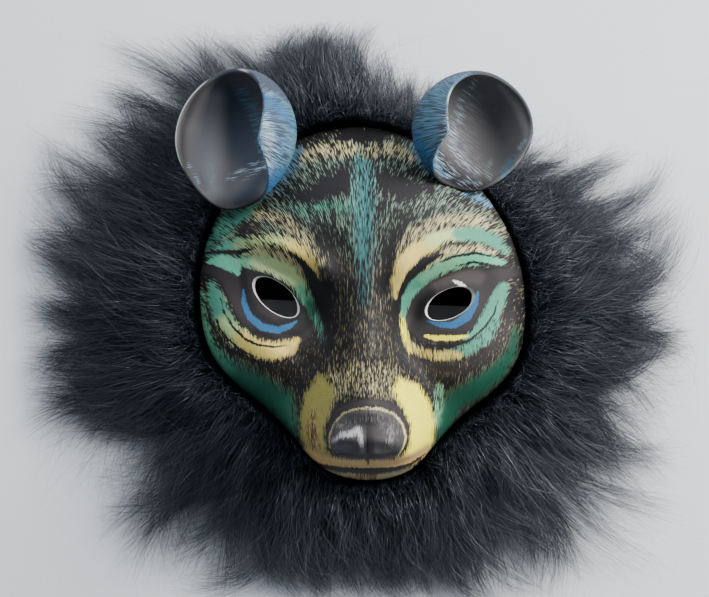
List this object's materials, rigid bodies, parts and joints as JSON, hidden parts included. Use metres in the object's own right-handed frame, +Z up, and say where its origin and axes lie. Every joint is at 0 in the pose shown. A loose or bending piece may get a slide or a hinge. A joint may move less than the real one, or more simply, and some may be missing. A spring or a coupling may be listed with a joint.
{
  "type": "wolf mask",
  "caption": "Soft foam animal face mask with open eye holes, cupped round ears and a wide ring of long fur, lying face up.",
  "frame": {"origin": "centre of the whole mask's box, on the ground under it", "axes": "+Z up out of the face, +Y towards the ears, +X to the right seen from above"},
  "size_m": [0.3354, 0.289, 0.0943],
  "materials": {
    "printed_foam": "matte printed knit over foam",
    "printed_foam_ear": "matte printed knit over foam",
    "long_fur": "long glossy synthetic pile",
    "elastic": "matte woven elastic"
  },
  "bodies": {
    "root": {"face_shell": "printed_foam", "ear_left": "printed_foam_ear", "ear_right": "printed_foam_ear", "mane": "long_fur", "crown_tuft": "long_fur", "elastic_strap": "elastic"}
  },
  "joints": []
}
